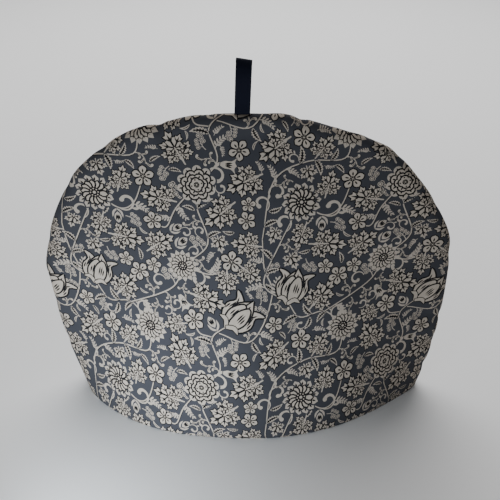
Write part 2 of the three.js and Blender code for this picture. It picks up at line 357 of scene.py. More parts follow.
def berries(count=6, bend=0.4, length=0.85):
    """A bunch of ringed berries on forked stalks."""
    stalk = length * bent(np.linspace(0, 1, 6), bend)
    motif = [(BEIGE, stroke(stalk, 0.05))]
    for k in range(count):
        at = 0.32 + 0.6 * k / (count - 1)
        foot = length * bent(at, bend)
        hand = 1 if k % 2 else -1
        tip = foot + 0.3 * (1.1 - 0.4 * at) * np.exp(1j * hand * (1.15 - 0.3 * at))
        motif.append((BEIGE, stroke(np.linspace(foot, tip, 3), 0.035)))
        motif += moved(berry(), tip)
    return motif + moved(berry(0.15), bent(1, bend))


def tendril(turns=0.8, width=0.17):
    """A curl that swells to a drop at its end, with a small leaf at its outer side."""
    s = np.linspace(0, 1, 15)
    line = 0.6 * (1 - 0.62 * s) * np.exp(1j * (2 * np.pi * turns * s + np.pi))
    line = line - line[0]
    motif = [(BEIGE, stroke(line, width * np.interp(s, [0, 0.6, 1], [0.35, 0.9, 1.4])))]
    motif.append((BEIGE, disc(line[-1], width * 0.85, 9)))
    return motif + [(BEIGE, petal(0.42, 0.17, 0.6, 6) * np.exp(-0.9j) + line[4])]


def scroll(branches=4, bend=1.1):
    """A leafy scroll: curved lobes that grow larger along one bent stalk."""
    stalk = bent(np.linspace(0, 1, 10), bend)
    motif = [(BEIGE, tapered(stalk, 0.075, 1.0, 0.6))]
    for k in range(branches):
        at = (k + 0.9) / (branches + 0.4)
        hand = -1 if k % 2 else 1
        line = smooth_line([0, 0.5 + 0.12j * hand, 0.95 + 0.52j * hand, 0.72 + 0.86j * hand], 4)
        wide = 0.42 * np.interp(np.linspace(0, 1, len(line)), [0, 0.55, 0.9, 1], [0.2, 0.8, 1, 0.5])
        lobe = rimmed(stroke(line, wide), 0.06, LINE) + [(LINE, tapered(line[3:9], 0.1))]
        motif += moved(lobe, bent(at, bend), bend * (2 * at - 0.5) + hand * 0.45, 0.30 + 0.16 * at)
    return motif


def bud():
    """A closed flower in two curved sepals."""
    cup = petal(0.8, 0.5, 0.5, 8) + 0.2
    motif = rimmed(cup, 0.06)
    for turn in (-0.16, 0.0, 0.16):
        motif.append((LINE, tapered(np.linspace(0.4, 0.85, 4) * np.exp(1j * turn), 0.1)))
    for hand in (1, -1):
        sepal = smooth_line([0, 0.22 + 0.26j * hand, 0.62 + 0.36j * hand], 4)
        motif += rimmed(tapered(sepal, 0.14, 0.6), 0.04)
    return motif


def bell():
    """A drooping bell flower with a notched mouth."""
    side = smooth_line([0.1j, 0.3 + 0.24j, 0.7 + 0.26j, 1.0 + 0.5j, 0.92 + 0.22j, 1.06], 3)
    outline = np.concatenate([side, np.conj(side)[::-1][1:]])
    motif = rimmed(outline, 0.06)
    for turn in (-0.2, 0.0, 0.2):
        motif.append((LINE, tapered(np.linspace(0.3, 0.8, 4) * np.exp(1j * turn), 0.1)))
    return motif


# One repeat of the print: its size, its flowers, each with its middle, size and turn, and its stems, each
# a line of given points, mostly from one flower to the next.
REPEAT = 158 + 164j
FLOWERS = [
    (daisy, 30 + 28j, 15.5, 0.1),
    (rose, 108 + 40j, 15.0, 0.6),
    (aster, 66 + 84j, 14.5, 0.2),
    (tulip, 131 + 95j, 24.0, 0.75),
    (tulip, 20 + 112j, 23.0, 1.25),
    (aster, 96 + 138j, 13.0, 0.7),
    (blossom, 68 + 44j, 8.5, 0.3),
    (blossom, 140 + 66j, 8.0, 1.0),
    (blossom, 104 + 96j, 8.5, 0.6),
    (blossom, 30 + 78j, 8.5, 0.1),
    (blossom, 60 + 128j, 8.0, 0.9),
    (blossom, 134 + 146j, 8.5, 0.2),
    (blossom, 74 + 8j, 7.5, 0.5),
    (blossom, 146 + 14j, 7.0, 0.7),
]
STEMS = [
    [(0, 0), (8, 44), (34, 60), (62, 62), (66, 84)],
    [(66, 84), (50, 100), (30, 98), (20, 112)],
    [(50, 100), (76, 112), (90, 122), (96, 138)],
    [(96, 138), (116, 158), (108, 186), (108, 204)],
    [(108, 40), (124, 58), (118, 82), (131, 95)],
    [(124, 88), (150, 84), (166, 118), (160, 142), (158, 164)],
    [(96, 138), (120, 134), (126, 146), (134, 146)],
    [(20, 112), (2, 128), (14, 160), (30, 192)],
    [(30, 28), (48, 16), (60, 22), (68, 44)],
    [(118, 84), (108, 86), (104, 96)],
    [(108, 40), (92, 20), (84, 4), (74, 8)],
]
STEM_WIDTH = 1.0
STEM_CLEARING = 0.55
STEM_SHADE = 0.42 - 0.36j
LEAF_GAP = 12.0

# What fills the gaps: the motifs to choose from where a gap has this much room in millimetres,
# and each motif's length, as a share of the room and at the most. The room is counted in steps
# of a millimetre, straight or slantwise.
FILLERS = [
    (9.0, (spray,)),
    (7.5, (vine_leaf, berries, vine_leaf)),
    (6.0, (leaf, blossom, berries, scroll, bell, bud)),
    (4.9, (leaf, fern, tendril, scroll, leaf)),
    (4.1, (fern, tendril, narrow_leaf)),
]
FILLER_LENGTHS = {spray: (2.3, 30.0), vine_leaf: (1.75, 18.0), scroll: (1.75, 10.0), blossom: (0.95, 12.0)}
OTHER_LENGTHS = (1.75, 12.0)
MOST_FILLERS = 260
WIDEST_ROOM = 24
FAR_OFF = 99.0
STEP_LENGTHS = (0.0, 1.0, 1.414)


def stem_with_leaves(points, chance):
    """One stem, and what grows from it on alternate sides."""
    line = smooth_line([x + 1j * y for x, y in points], 7)
    outline = tapered(line, STEM_WIDTH, 0.8, 0.8)
    stem = [(GROUND, grown(outline, STEM_CLEARING)), (LINE, outline + STEM_SHADE), (BEIGE, outline)]
    motifs = [stem]
    length = np.append(0, np.cumsum(abs(np.diff(line))))
    for k in range(int(length[-1] / LEAF_GAP) - 1):
        at = (k + 0.8) * LEAF_GAP
        place, ahead = np.interp([at, at + 1], length, line)
        hand = 1 if k % 2 else -1
        turn = np.angle(ahead - place) + hand * chance.uniform(0.7, 1.2)
        kind = chance.choice((leaf, leaf, scroll, fern, tendril, berries))
        size = chance.uniform(10, 14) if kind is scroll else chance.uniform(11, 15)
        shape = kind() if hand > 0 else mirrored(kind())
        motifs.append(moved(shape, place, turn, size))
    return motifs


def inside(points, outline):
    """Whether each point lies in the outline, by its winding number."""
    a = outline[None, :] - points[:, None]
    b = np.roll(a, -1, axis=1)
    turn = a.real * b.imag - a.imag * b.real
    rising = (a.imag <= 0) & (b.imag > 0) & (turn > 0)
    falling = (a.imag > 0) & (b.imag <= 0) & (turn < 0)
    return rising.sum(1) != falling.sum(1)


def mark(taken, motif):
    """Marks the cells of the repeat, one to a millimetre, that a motif covers."""
    wide, high = taken.shape
    for ink, outline in motif:
        if ink == GROUND:
            continue
        across = np.arange(np.floor(outline.real.min()) - 1, np.ceil(outline.real.max()) + 2)
        up = np.arange(np.floor(outline.imag.min()) - 1, np.ceil(outline.imag.max()) + 2)
        cells = (across[:, None] + 1j * up).ravel()
        hit = cells[inside(cells, outline)]
        taken[hit.real.astype(int) % wide, hit.imag.astype(int) % high] = True


def clearance(taken):
    """Each cell's distance to the nearest taken one, step by step, across the repeat's edges."""
    far = np.where(taken, 0.0, FAR_OFF)
    for _ in range(WIDEST_ROOM):
        near = far
        for across in (-1, 0, 1):
            for up in (-1, 0, 1):
                step = STEP_LENGTHS[abs(across) + abs(up)]
                near = np.minimum(near, np.roll(far, (across, up), (0, 1)) + step)
        if np.array_equal(near, far):
            break
        far = near
    return far


def fill_gaps(motifs, chance):
    """Sets a motif in the widest gap, again and again, until no gap has room for one."""
    taken = np.zeros((int(REPEAT.real), int(REPEAT.imag)), bool)
    for motif in motifs:
        mark(taken, motif)
    for _ in range(MOST_FILLERS):
        room = clearance(taken)
        fitting = [kinds for least, kinds in FILLERS if room.max() >= least]
        if not fitting:
            break
        x, y = np.unravel_index(np.argmax(room), room.shape)
        kind = chance.choice(fitting[0])
        turn = chance.uniform(0, 2 * np.pi)
        share, most = FILLER_LENGTHS.get(kind, OTHER_LENGTHS)
        size = min(room.max() * share, most)
        shape = kind() if chance.random() >= 0.5 else mirrored(kind())
        middle = 0 if kind is blossom else 0.5
        filler = moved(shape, x + 1j * y - middle * size * np.exp(1j * turn), turn, size)
        motifs.append(filler)
        mark(taken, filler)


repeat_chance = random.Random(7)
repeat_motifs = []
for points in STEMS:
    repeat_motifs += stem_with_leaves(points, repeat_chance)
for flower, middle, size, turn in FLOWERS:
    repeat_motifs.append(moved(flower(), middle, turn, size))
fill_gaps(repeat_motifs, repeat_chance)
print_repeat = [part for motif in repeat_motifs for part in motif]

# The panel's outline, seen from the front.
MAX_WIDTH = 324.0
HEIGHT = 252.0
HEM_WIDTH = 290.5
WIDEST_AT = 122.0
CROWN_SQUARENESS = 2.85
CROWN_RISE = 1.64
SIDE_CURVE = 2.25

# The worn outline is a little lopsided: the hem sits to the right of the widest line.
HEM_SHIFT = 3.3
SHIFT_CURVE = 1.3
OFF_CENTRE = 0.67

# The wadded cloth, how far the open hem bellies out from the seam, and the height over which
# puckers and creases fade out above the flat hem. The sections at the hem and at the waist are
# each their roundness and taper on the left, then on the right.
WALL = 6.0
EDGE_ROUND = 9.0
HEM_ROUND = 1.8
PANEL_GAP = 0.3
HEM_BELLY = 65.5
BELLY_TOP = 0.94 * HEIGHT
BELLY_RISE = 1.3
BELLY_FADE = 1.14
SECTION_BLEND = 0.5 * HEIGHT
HEM_SECTION = (2.6, 0.78, 2.11, 1.08)
WAIST_SECTION = (1.72, 2.09, 1.72, 2.09)
HEM_SMOOTH = {"from": 2.0, "to": 22.0}

# Puckers that the seam draws in round the edge, each as its bearing, its depth, its width and how
# far in it reaches. The bearing is in degrees about the middle of the widest line, 0 to the right
# and 90 at the top. A negative depth is a small swelling.
SEAM_PUCKERS = [
    (205, 1.1, 5.0, 20), (192, 0.7, 6.0, 16), (171, 0.9, 7.0, 18), (152, 0.7, 6.0, 22),
    (136, 1.0, 6.0, 15), (118, 1.5, 4.5, 20), (103, 0.6, 6.0, 14), (79, -0.9, 9.0, 12),
    (73, 1.2, 4.5, 16), (57, 0.8, 7.0, 18), (41, 0.9, 6.0, 24), (22, 0.7, 6.0, 16),
    (5, 0.8, 7.0, 20), (-16, 1.1, 5.5, 26), (-24.5, 1.2, 5.0, 22), (-33, 1.3, 5.0, 28),
]

# Broad flats and swellings that the worn outline has taken, each as its bearing, depth and width.
OUTLINE_SETS = [
    (62, 4.6, 26.0), (33, 2.0, 24.0), (50, 1.8, 11.0), (11, -2.2, 16.0),
    (116, 1.8, 16.0), (148, -1.2, 14.0), (171, -0.2, 9.0), (180, -1.4, 11.0),
]
SET_REACH = 70.0

# Long soft creases, each from one place of the outline to another.
FRONT_CREASES = [
    {"from": (20, 100), "to": (150, 108), "height": 1.3, "width": 12},
    {"from": (-8, 12), "to": (-4, 84), "height": 2.8, "width": 20},
    {"from": (36, 14), "to": (44, 84), "height": -2.8, "width": 20},
    {"from": (74, 66), "to": (134, 58), "height": -1.8, "width": 13},
    {"from": (50, 20), "to": (110, 34), "height": 1.2, "width": 12},
    {"from": (-150, 74), "to": (-92, 62), "height": -1.1, "width": 13},
    {"from": (-118, 178), "to": (-70, 154), "height": -0.9, "width": 14},
    {"from": (124, 176), "to": (82, 154), "height": 0.9, "width": 13},
]
BACK_CREASES = [
    {"from": (-146, 92), "to": (-62, 84), "height": -1.4, "width": 13},
    {"from": (58, 172), "to": (122, 186), "height": -1.0, "width": 13},
    {"from": (64, 70), "to": (148, 82), "height": 1.3, "width": 13},
    {"from": (46, 22), "to": (112, 30), "height": -1.2, "width": 13},
]


def half_width(z):
    rise = np.clip((z - WIDEST_AT) / (HEIGHT - WIDEST_AT), 0, 1)
    crown = MAX_WIDTH / 2 * (1 - rise**CROWN_RISE) ** (1 / CROWN_SQUARENESS)
    fall = np.clip((WIDEST_AT - z) / WIDEST_AT, 0, 1)
    return crown - (MAX_WIDTH - HEM_WIDTH) / 2 * fall**SIDE_CURVE


def belly(x, z):
    """How far the panel stands out from its flat flank, from opening the hem."""
    middle = HEM_BELLY * (1 - np.clip(z / BELLY_TOP, 0, 1) ** BELLY_RISE) ** BELLY_FADE
    blend = np.clip(z / SECTION_BLEND, 0, 1)
    left, left_taper, right, right_taper = (
        at_hem + (at_waist - at_hem) * blend for at_hem, at_waist in zip(HEM_SECTION, WAIST_SECTION)
    )
    roundness = np.where(x < 0, left, right)
    taper_off = np.where(x < 0, left_taper, right_taper)
    across = np.clip(abs(x) / np.maximum(half_width(z), 1e-6), 0, 1)
    return middle * (1 - across**roundness) ** taper_off


# The seam seen from the front, its points crowded toward the top, where it turns most.
SEAM_STEPS = 240
SEAM_CROWDING = 2.6
SEAM_HEIGHTS = HEIGHT * (1 - np.linspace(0, 1, SEAM_STEPS + 1) ** SEAM_CROWDING)
SEAM_LINE = half_width(SEAM_HEIGHTS) + 1j * SEAM_HEIGHTS
PLACES_AT_ONCE = 4000


def seam_distance(x, z):
    """The distance in the seam's plane from each place to the seam."""
    nearest = []
    start, along = SEAM_LINE[:-1], np.diff(SEAM_LINE)
    for part in np.array_split(abs(x) + 1j * z, len(x) // PLACES_AT_ONCE + 1):
        away = part[:, None] - start[None, :]
        share = np.clip((away * np.conj(along)).real / abs(along) ** 2, 0, 1)
        nearest.append(abs(away - share * along).min(axis=1))
    return np.concatenate(nearest)


def edge_roll(inward):
    """The share of the wall's thickness at each distance in from the seam."""
    return np.sqrt(1 - (1 - np.clip(inward / EDGE_ROUND, 0, 1)) ** 2)


def bump(distance, width):
    return np.exp(-((distance / width) ** 2))


def crease_height(creases, x, z):
    point = x + 1j * z
    height = np.zeros(len(x))
    for crease in creases:
        start, end = complex(*crease["from"]), complex(*crease["to"])
        share = ((point - start) * np.conj(end - start)).real / abs(end - start) ** 2
        nearest = start + np.clip(share, 0, 1) * (end - start)
        height += crease["height"] * bump(abs(point - nearest), crease["width"])
    return height


def drawn_at(x, z, bearing, depth, width):
    """How far a pucker or a flat draws the cloth in where it meets the seam, beside each place."""
    arm = (x + 1j * (z - WIDEST_AT)) * np.exp(-1j * math.radians(bearing))
    return np.where(arm.real > 0, depth * bump(arm.imag, width), 0)


def outer_face(x, z, creases, on_seam):
    """The panel's outer face over places of its outline: x, the distance from the seam, z."""
    inward = np.where(on_seam, 0.0, seam_distance(x, z))
    edge = edge_roll(inward)
    rise = np.clip((z - HEM_SMOOTH["from"]) / (HEM_SMOOTH["to"] - HEM_SMOOTH["from"]), 0, 1)
    hem_fade = rise * rise * (3 - 2 * rise)
    puckered = sum(drawn_at(x, z, *row) * np.exp(-inward / reach) for *row, reach in SEAM_PUCKERS)
    flattened = sum(drawn_at(x, z, *row) for row in OUTLINE_SETS) * np.exp(-inward / SET_REACH)
    out = edge * (WALL - puckered * hem_fade) + belly(x, z)
    out = out + crease_height(creases, x, z) * hem_fade * edge
    middle = -x + 1j * (WIDEST_AT - z)
    pull = (puckered + flattened) * hem_fade * middle / np.maximum(abs(middle), 1e-6)
    shift = HEM_SHIFT * np.clip((WIDEST_AT - z) / WIDEST_AT, 0, 1) ** SHIFT_CURVE
    return x + pull.real + shift + OFF_CENTRE, out, z + pull.imag


# How the flat cloth lies on the opened panel, from lengths measured along the cloth: across each
# row, and up the middle. The rows crowd toward the top of the crown.
CROWN_FROM = 216.0
LOW_ROWS = 108
CROWN_ROWS = 60
CROWN_CROWDING = 2.2
COLUMNS = 90
SHARES = np.linspace(0, 1, 400)
low_rows = np.linspace(0, CROWN_FROM, LOW_ROWS + 1)[:-1]
crown_rows = HEIGHT - (HEIGHT - CROWN_FROM) * np.linspace(1, 0, CROWN_ROWS) ** CROWN_CROWDING
CLOTH_ROWS = np.concatenate([low_rows, crown_rows])
row_x = half_width(CLOTH_ROWS)[:, None] * np.sin(np.linspace(0, np.pi / 2, COLUMNS))
row_z = np.repeat(CLOTH_ROWS[:, None], COLUMNS, axis=1)
row_edge = edge_roll(seam_distance(row_x.ravel(), row_z.ravel())).reshape(row_x.shape)
row_out = WALL * row_edge + belly(row_x, row_z)
steps_across = np.hypot(np.diff(row_x, axis=1), np.diff(row_out, axis=1))
CLOTH_ACROSS = np.hstack([np.zeros((len(CLOTH_ROWS), 1)), np.cumsum(steps_across, axis=1)])
CLOTH_UP = np.append(0, np.cumsum(np.hypot(np.diff(row_out[:, 0]), np.diff(CLOTH_ROWS))))
X_AT_SHARE = np.array([
    np.interp(SHARES * across[-1], across, x) for across, x in zip(CLOTH_ACROSS, row_x)
])


def cloth_to_outline(cloth):
    """From a place on the flat cloth to x and z in the panel's outline."""
    z = np.interp(cloth.imag, CLOTH_UP, CLOTH_ROWS)
    row = np.interp(z, CLOTH_ROWS, np.arange(len(CLOTH_ROWS)))
    low = np.clip(row.astype(int), 0, len(CLOTH_ROWS) - 2)
    blend = row - low
    total = np.interp(z, CLOTH_ROWS, CLOTH_ACROSS[:, -1])
    share = np.clip(abs(cloth.real) / np.maximum(total, 1e-6), 0, 1) * (len(SHARES) - 1)
    left = np.clip(share.astype(int), 0, len(SHARES) - 2)
    part = share - left
    x_low, x_high = (
        X_AT_SHARE[near, left] * (1 - part) + X_AT_SHARE[near, left + 1] * part
        for near in (low, low + 1)
    )
    return np.sign(cloth.real) * (x_low * (1 - blend) + x_high * blend), z


def resampled(line, step):
    length = np.append(0, np.cumsum(abs(np.diff(line))))
    return np.interp(np.linspace(0, length[-1], int(round(length[-1] / step)) + 1), length, line)


def flat_outline(step):
    """The cut edge of the flat panel: along the hem from left to right, then over the crown."""
    right = CLOTH_ACROSS[:, -1] + 1j * CLOTH_UP
    seam = resampled(np.concatenate([right, -np.conj(right[::-1][1:])]), step)
    hem = resampled(np.array([seam[-1], seam[0]]), step)
    return np.concatenate([hem[:-1], seam[:-1]])


# Steps of the flat cloth's edge, of its fill and of the lining, the rows that follow the edge
# inward, the width of the columns in which places are sorted to look up their ink, and how close
# two places are to count as one.
OUTLINE_STEP = 1.5
RIM_ROWS = (0.45, 1.1, 2.0, 3.2, 4.8, 6.8, 9.2, 12.0)
FILL_STEP = 2.6
FILL_MARGIN = 0.3
FILL_CLEARING = 0.7
LINING_STEP = 6.0
INK_TOLERANCE = 0.09
INK_COLUMN = 2.0
COLUMN_KEY = 1e4
HEX_RISE = 0.866
TOUCHING = 1e-4
cloth_rim = flat_outline(OUTLINE_STEP)
CLOTH_WIDTH = cloth_rim.real.max()
CLOTH_HEIGHT = cloth_rim.imag.max()
CLOTH_WIDTH_AT_HEM = CLOTH_ACROSS[0, -1]


def on_panel(places, margin=0.0):
    """Whether each place on the flat cloth lies on the panel, this far or more in from its edge."""
    side = np.interp(places.imag + margin, CLOTH_UP, CLOTH_ACROSS[:, -1])
    above_hem = places.imag > margin
    return above_hem & (places.imag < CLOTH_UP[-1] - margin) & (abs(places.real) < side - margin)


def hex_grid(step):
    """Places at equal steps over the whole width and height of the flat cloth."""
    across, up = np.arange(-CLOTH_WIDTH, CLOTH_WIDTH, step), np.arange(0, CLOTH_HEIGHT, step * HEX_RISE)
    x, y = np.meshgrid(across, up)
    return (x + (np.arange(len(y)) % 2)[:, None] * step / 2 + 1j * y).ravel()


def clear_of(places, others, step):
    """The places whose square of this step holds none of the others."""
    taken = {(int(p.real // step), int(p.imag // step)) for p in others}
    return np.array([p for p in places if (int(p.real // step), int(p.imag // step)) not in taken])


def triangulate(points, edges, kept):
    """Triangles over the points along the edges: all of them, or those the edges enclose."""
    kept = ("all", "enclosed").index(kept)
    found = delaunay_2d_cdt([(p.real, p.imag) for p in points], edges, [], kept, TOUCHING, False)
    places = np.array([complex(v[0], v[1]) for v in found[0]])
    return places, np.array(found[2])


def closed_edges(start, count):
    return [(start + k, start + (k + 1) % count) for k in range(count)]


def sides_of(triangles):
    return np.concatenate([triangles[:, [0, 1]], triangles[:, [1, 2]], triangles[:, [2, 0]]])


def edges_by_side(triangles):
    """Each edge of the triangles once, and the triangles on its two sides, or -1 for none."""
    owner = np.tile(np.arange(len(triangles)), 3)
    edges, which, count = np.unique(
        np.sort(sides_of(triangles), axis=1), axis=0, return_inverse=True, return_counts=True
    )
    order = np.argsort(which.ravel(), kind="stable")
    first = np.append(0, np.cumsum(count)[:-1])
    one = owner[order[first]]
    second = np.minimum(first + 1, len(order) - 1)
    return edges, one, np.where(count > 1, owner[order[second]], -1)


def chains(edges):
    """Edges joined end to end into lines that run between forks, or round in a loop."""
    near = {}
    for a, b in edges:
        near.setdefault(a, []).append(b)
        near.setdefault(b, []).append(a)
    forks = [point for point in near if len(near[point]) != 2]
    stops = set(forks)
    for start in forks + list(near):
        while near[start]:
            line = [start]
            while near[line[-1]] and (len(line) == 1 or line[-1] not in stops):
                ahead = near[line[-1]].pop()
                near[ahead].remove(line[-1])
                line.append(ahead)
            yield line


def simplified(line, places, tolerance):
    """Drops the points of a line that lie within a tolerance of the straight way past them."""
    keep = {0, len(line) - 1}
    waiting = [(0, len(line) - 1)]
    at = places[line]
    while waiting:
        low, high = waiting.pop()
        if high - low < 2:
            continue
        span = at[high] - at[low]
        away = at[low + 1 : high] - at[low]
        off = abs(away) if abs(span) < 1e-6 else abs((away * np.conj(span)).imag) / abs(span)
        worst = int(np.argmax(off))
        if off[worst] > tolerance:
            middle = low + 1 + worst
            keep.add(middle)
            waiting += [(low, middle), (middle, high)]
    return [line[k] for k in sorted(keep)]


def laid_print(slide):
    """The outlines of the repeat, laid side by side over the whole panel."""
    outlines = []
    for ink, outline in print_repeat:
        for across in range(-2, 3):
            for up in range(-1, 3):
                copy = outline + slide + across * REPEAT.real + 1j * up * REPEAT.imag
                crosses = abs(copy.real).min() < CLOTH_WIDTH
                if crosses and copy.imag.max() > 0 and copy.imag.min() < CLOTH_HEIGHT:
                    outlines.append((ink, copy))
    return outlines


def ink_of(centres, outlines):
    """The uppermost ink at each place, found from the top outline down."""
    ink = np.full(len(centres), -1)
    column = np.floor(centres.real / INK_COLUMN)
    order = np.argsort(column * COLUMN_KEY + centres.imag)
    keys = (column * COLUMN_KEY + centres.imag)[order]
    for tone, outline in reversed(outlines):
        first = int(np.floor(outline.real.min() / INK_COLUMN))
        last = int(np.floor(outline.real.max() / INK_COLUMN))
        starts = np.arange(first, last + 1) * COLUMN_KEY
        lows = np.searchsorted(keys, starts + outline.imag.min())
        highs = np.searchsorted(keys, starts + outline.imag.max())
        some = np.concatenate([order[low:high] for low, high in zip(lows, highs)])
        some = some[ink[some] < 0]
        if len(some):
            ink[some[inside(centres[some], outline)]] = tone
    return np.maximum(ink, GROUND)


def ink_borders(outlines):
    """The borders between one ink and another on the panel: their points, and their edges."""
    points, edges = [cloth_rim], closed_edges(0, len(cloth_rim))
    count = len(cloth_rim)
    for ink, outline in outlines:
        edges += closed_edges(count, len(outline))
        points.append(outline)
        count += len(outline)
    places, triangles = triangulate(np.concatenate(points), edges, "all")
    centres = places[triangles].mean(axis=1)
    ink = np.where(on_panel(centres), ink_of(centres, outlines), -1)
    edges, one, other = edges_by_side(triangles)
    shown = (other >= 0) & (ink[one] != ink[other]) & (ink[one] >= 0) & (ink[other] >= 0)
    borders = []
    for line in chains(edges[shown].tolist()):
        line = simplified(line, places, INK_TOLERANCE)
        borders += list(zip(line[:-1], line[1:]))
    used, numbers = np.unique(np.array(borders), return_inverse=True)
    return places[used], numbers.reshape(-1, 2)


def printed_cloth(slide):
    """The flat panel cut into triangles along every edge of ink, and each triangle's ink."""
    outlines = laid_print(slide)
    ink_points, borders = ink_borders(outlines)
    ahead = np.roll(cloth_rim, -1) - np.roll(cloth_rim, 1)
    rim_rows = np.concatenate([cloth_rim + 1j * ahead / abs(ahead) * row for row in RIM_ROWS])
    fill = np.concatenate([rim_rows, clear_of(hex_grid(FILL_STEP), rim_rows, FILL_STEP)])
    fill = clear_of(fill[on_panel(fill, FILL_MARGIN)], ink_points, FILL_CLEARING)
    points = np.concatenate([cloth_rim, ink_points, fill])
    edges = closed_edges(0, len(cloth_rim)) + list(map(tuple, (borders + len(cloth_rim)).tolist()))
    places, triangles = triangulate(points, edges, "enclosed")
    return places, triangles, ink_of(places[triangles].mean(axis=1), outlines)


def rim_loop(triangles):
    """The rim of a flat sheet of triangles, as one loop of point numbers, anticlockwise."""
    sides = {tuple(side) for side in sides_of(triangles).tolist()}
    ahead = {a: b for a, b in sides if (b, a) not in sides}
    start = min(ahead)
    loop = [start]
    while ahead[loop[-1]] != start:
        loop.append(ahead[loop[-1]])
    return loop


def hem_turn(z, wall):
    """How far the hem's edge is rounded off at each height."""
    low = np.clip(HEM_ROUND - z, 0, HEM_ROUND)
    return np.minimum(HEM_ROUND - np.sqrt(HEM_ROUND**2 - low**2), wall / 3)


def stood_up(cloth, side, creases, on_seam, lining):
    """Places of the flat cloth where they stand in metres, on the outer face or the lining."""
    x, z = cloth_to_outline(cloth)
    x, out, z = outer_face(-side * x, z, creases, on_seam)
    inner_out = np.maximum(out - WALL, 0)
    turn = hem_turn(z, out - inner_out)
    out = np.maximum(inner_out + turn, 0) if lining else out - turn
    out = np.where(on_seam, 0, out)
    return np.stack([x, side * (out + PANEL_GAP / 2), np.maximum(z, 0)], axis=1) * MM


# The weave and the inks of the cotton. Each pair is how strongly the ink's pressure, the fading or the
# weave changes the cloth's colour, and the colour's share without them. The weave's term is painted shade:
# it darkens the colour in the weave's hollows and lightens it on the crowns, in the same pattern as the
# relief.
YARN_MM = 0.42
SLUB_SCALE = 0.35
FADE_SCALE = 0.03
PRESSURE = (0.35, 0.74)
FADING = (0.3, 0.85)
WEAVE_PAINTED_SHADE = (0.06, 1.0)
SLUB_HEIGHT = 1.5
WEAVE_DEPTH = 0.00012
WEAVE_STRENGTH = 0.35
GROUND_COLOUR = (0.0465, 0.0480, 0.0565, 1.0)
BEIGE_COLOUR = (0.462, 0.404, 0.342, 1.0)
LINE_COLOUR = (0.0105, 0.0100, 0.0110, 1.0)


def cotton(name, printed):
    """Plain-woven cotton: a fine over-and-under weave with painted shade in its hollows, slubby yarn and
    uneven ink.
    """
    finish = matt(name, GROUND_COLOUR, roughness=0.88, gloss=0.06)
    nodes, links = finish.node_tree.nodes, finish.node_tree.links
    shader = nodes["Principled BSDF"]
    shader.inputs["Sheen Weight"].default_value = 0.02
    shader.inputs["Sheen Roughness"].default_value = 0.6

    def node(kind, sockets, values, **settings):
        """A node with these settings, and a value or a link for each of these sockets."""
        made = nodes.new(kind)
        for key, setting in settings.items():
            setattr(made, key, setting)
        for socket, value in zip(sockets, values):
            if isinstance(value, bpy.types.NodeSocket):
                links.new(value, made.inputs[socket])
            else:
                made.inputs[socket].default_value = value
        return made

    def maths(way, *values):
        return node("ShaderNodeMath", range(3), values, operation=way).outputs[0]

    def noise(scale, detail):
        return node("ShaderNodeTexNoise", ("Vector", "Scale", "Detail"), (cloth, scale, detail)).outputs[0]

    def mix(amount, under, over, way="MIX"):
        """Two colours mixed. Sockets 0, 6 and 7 are the amount and the two colours."""
        values = (amount, under, over)
        return node("ShaderNodeMix", (0, 6, 7), values, data_type="RGBA", blend_type=way).outputs[2]

    cloth = node("ShaderNodeAttribute", (), (), attribute_name="cloth").outputs["Vector"]
    across, up = node("ShaderNodeSeparateXYZ", (0,), (cloth,)).outputs[:2]
    warp = maths("SINE", maths("MULTIPLY", across, math.pi / YARN_MM))
    weft = maths("SINE", maths("MULTIPLY", up, math.pi / YARN_MM))
    weave = maths("MULTIPLY", warp, weft)
    slub = noise(SLUB_SCALE, 4.0)
    fade = noise(FADE_SCALE, 2.0)
    colour = GROUND_COLOUR
    if printed:
        ink = node("ShaderNodeAttribute", (), (), attribute_name="ink").outputs["Fac"]
        beige = maths("COMPARE", ink, BEIGE, 0.25)
        dark = maths("COMPARE", ink, LINE, 0.25)
        pressed = maths("MULTIPLY_ADD", slub, *PRESSURE)
        colour = mix(maths("MULTIPLY", beige, pressed), GROUND_COLOUR, BEIGE_COLOUR)
        colour = mix(dark, colour, LINE_COLOUR)
    mottle = maths("MULTIPLY_ADD", fade, *FADING)
    # Painted shade: the colour is darker in the weave's hollows and lighter on its crowns, following the
    # weave pattern that also drives the bump. The fading noise that it is multiplied with is random tone.
    painted_weave_shade = maths("MULTIPLY_ADD", weave, *WEAVE_PAINTED_SHADE)
    fading_and_painted_shade = node("ShaderNodeCombineColor", range(3), [maths("MULTIPLY", mottle, painted_weave_shade)] * 3).outputs[0]
    links.new(mix(1.0, colour, fading_and_painted_shade, "MULTIPLY"), shader.inputs["Base Color"])
    height = maths("ADD", weave, maths("MULTIPLY", slub, SLUB_HEIGHT))
    values = (WEAVE_STRENGTH, WEAVE_DEPTH, height)
    relief = node("ShaderNodeBump", ("Strength", "Distance", "Height"), values)
    links.new(relief.outputs[0], shader.inputs["Normal"])
    return finish


printed_cotton = cotton("printed_cotton", True)
plain_cotton = cotton("plain_cotton", False)


def new_piece(name, places, faces):
    """A new piece, the only one selected, for the steps that finish it."""
    mesh = bpy.data.meshes.new(name)
    mesh.from_pydata(places, [], faces)
    mesh.update()
    piece = bpy.data.objects.new(name, mesh)
    bpy.context.collection.objects.link(piece)
    bpy.ops.object.select_all(action="DESELECT")
    piece.select_set(True)
    bpy.context.view_layer.objects.active = piece
    return piece


# The parts of a panel's face list, and where each lies on the unwrapped map: the printed face at
# the foot, two rows for the hem's edge above it, and the lining, squashed, at the top.
PRINTED, LINING, HEM = 0, 1, 2
MAP_MARGIN = 0.01
HEM_ROWS_ON_MAP = (0.815, 0.825)
LINING_ON_MAP = {"from": 0.84, "height": 0.15}
CREASE_ANGLE = math.radians(50)


